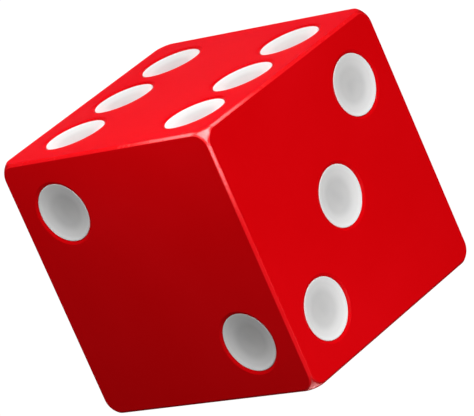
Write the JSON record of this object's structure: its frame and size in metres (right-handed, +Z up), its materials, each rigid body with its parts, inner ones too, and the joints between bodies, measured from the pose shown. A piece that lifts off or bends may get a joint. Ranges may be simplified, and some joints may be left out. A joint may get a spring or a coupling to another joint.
{
  "type": "casino die",
  "caption": "Glossy red die with softened edges, rounded corners and white dished pips set in bevelled sockets, for casino table and card room games.",
  "frame": {"origin": "middle of the bottom face, the face with one pip, on the surface the die stands on", "axes": "+Z up out of the face with six pips; +X out of the face with three; -Y out of the face with two; +Y out of the face with five; -X out of the face with four"},
  "size_m": [0.019, 0.019, 0.0191],
  "materials": {
    "die_red": "polished glossy red, opaque",
    "pip_white": "smooth white, softly glossy"
  },
  "bodies": {
    "root": {"body": "die_red", "pip_one": "pip_white", "pip_two_upper": "pip_white", "pip_two_lower": "pip_white", "pip_three_upper": "pip_white", "pip_three_middle": "pip_white", "pip_three_lower": "pip_white", "pip_four_upper_front": "pip_white", "pip_four_upper_back": "pip_white", "pip_four_lower_front": "pip_white", "pip_four_lower_back": "pip_white", "pip_five_upper_left": "pip_white", "pip_five_upper_right": "pip_white", "pip_five_middle": "pip_white", "pip_five_lower_left": "pip_white", "pip_five_lower_right": "pip_white", "pip_six_left_front": "pip_white", "pip_six_left_middle": "pip_white", "pip_six_left_back": "pip_white", "pip_six_right_front": "pip_white", "pip_six_right_middle": "pip_white", "pip_six_right_back": "pip_white"}
  },
  "joints": []
}
